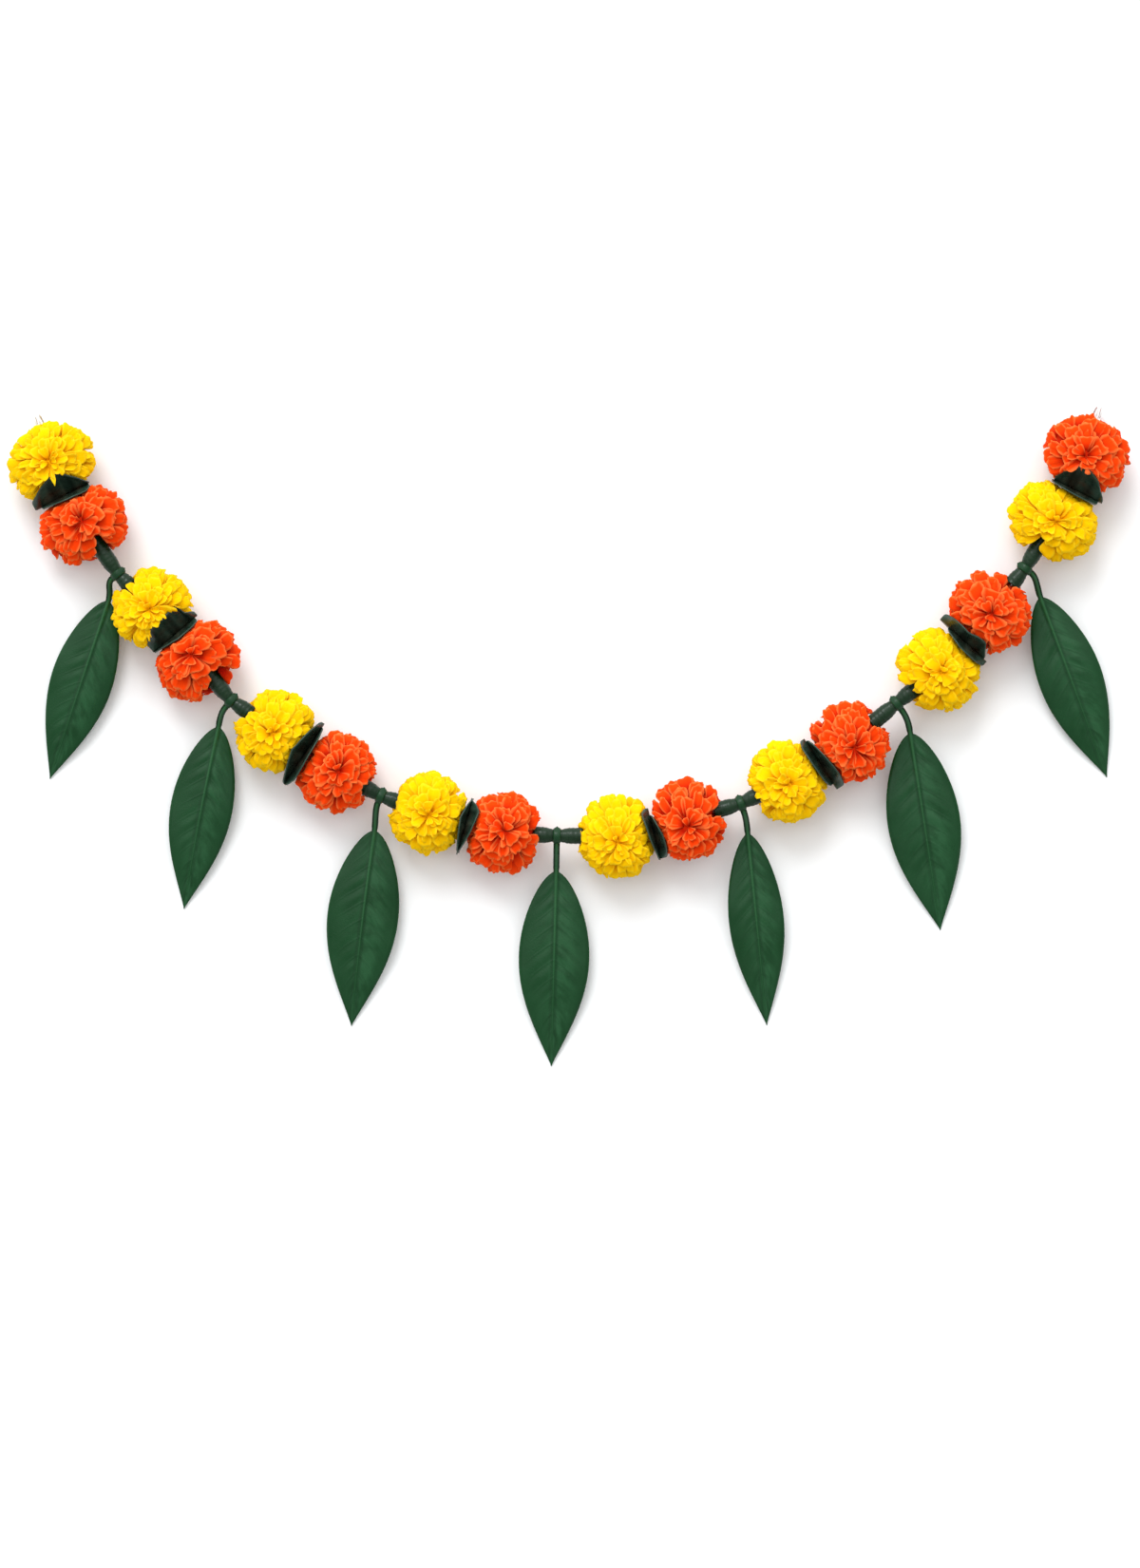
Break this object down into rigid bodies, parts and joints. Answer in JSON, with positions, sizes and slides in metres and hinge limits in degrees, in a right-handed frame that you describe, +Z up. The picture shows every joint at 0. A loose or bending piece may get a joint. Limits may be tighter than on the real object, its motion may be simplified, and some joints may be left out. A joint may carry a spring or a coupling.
{
  "type": "marigold garland",
  "caption": "Door garland of cloth marigold pompons in alternating yellow and orange with hanging green leaves, strung on a thread and laid flat in a shallow U.",
  "frame": {"origin": "middle of the footprint, without the two end loops, on the surface that the garland lies on", "axes": "+X along the span between the two ends, +Y from the lowest flowers towards the ends, +Z up, away from the surface"},
  "size_m": [0.7864, 0.4649, 0.05],
  "materials": {
    "yellow_cloth": "matte cloth petals, crisp scalloped edges",
    "orange_cloth": "matte cloth petals, slightly lighter at the edges",
    "leaf_plastic": "satin leaf with a raised midrib and fine side veins",
    "sleeve_tape": "satin wound tape with fine rings across",
    "collar_plastic": "satin moulded sepals, creased",
    "thread_cotton": "twisted cotton"
  },
  "bodies": {
    "root": {"thread": "thread_cotton", "knot_left": "thread_cotton", "loop_left": "thread_cotton", "knot_right": "thread_cotton", "loop_right": "thread_cotton", "bloom_01": "yellow_cloth", "collar_01": "collar_plastic", "bloom_02": "orange_cloth", "collar_02": "collar_plastic", "bloom_03": "yellow_cloth", "collar_03": "collar_plastic", "bloom_04": "orange_cloth", "collar_04": "collar_plastic", "bloom_05": "yellow_cloth", "collar_05": "collar_plastic", "bloom_06": "orange_cloth", "collar_06": "collar_plastic", "bloom_07": "yellow_cloth", "collar_07": "collar_plastic", "bloom_08": "orange_cloth", "collar_08": "collar_plastic", "bloom_09": "yellow_cloth", "collar_09": "collar_plastic", "bloom_10": "orange_cloth", "collar_10": "collar_plastic", "bloom_11": "yellow_cloth", "collar_11": "collar_plastic", "bloom_12": "orange_cloth", "collar_12": "collar_plastic", "bloom_13": "yellow_cloth", "collar_13": "collar_plastic", "bloom_14": "orange_cloth", "collar_14": "collar_plastic", "bloom_15": "yellow_cloth", "collar_15": "collar_plastic", "bloom_16": "orange_cloth", "collar_16": "collar_plastic", "sleeve_1": "sleeve_tape", "leaf_1": "leaf_plastic", "sleeve_2": "sleeve_tape", "leaf_2": "leaf_plastic", "sleeve_3": "sleeve_tape", "leaf_3": "leaf_plastic", "sleeve_4": "sleeve_tape", "leaf_4": "leaf_plastic", "sleeve_5": "sleeve_tape", "leaf_5": "leaf_plastic", "sleeve_6": "sleeve_tape", "leaf_6": "leaf_plastic", "sleeve_7": "sleeve_tape", "leaf_7": "leaf_plastic"}
  },
  "joints": []
}
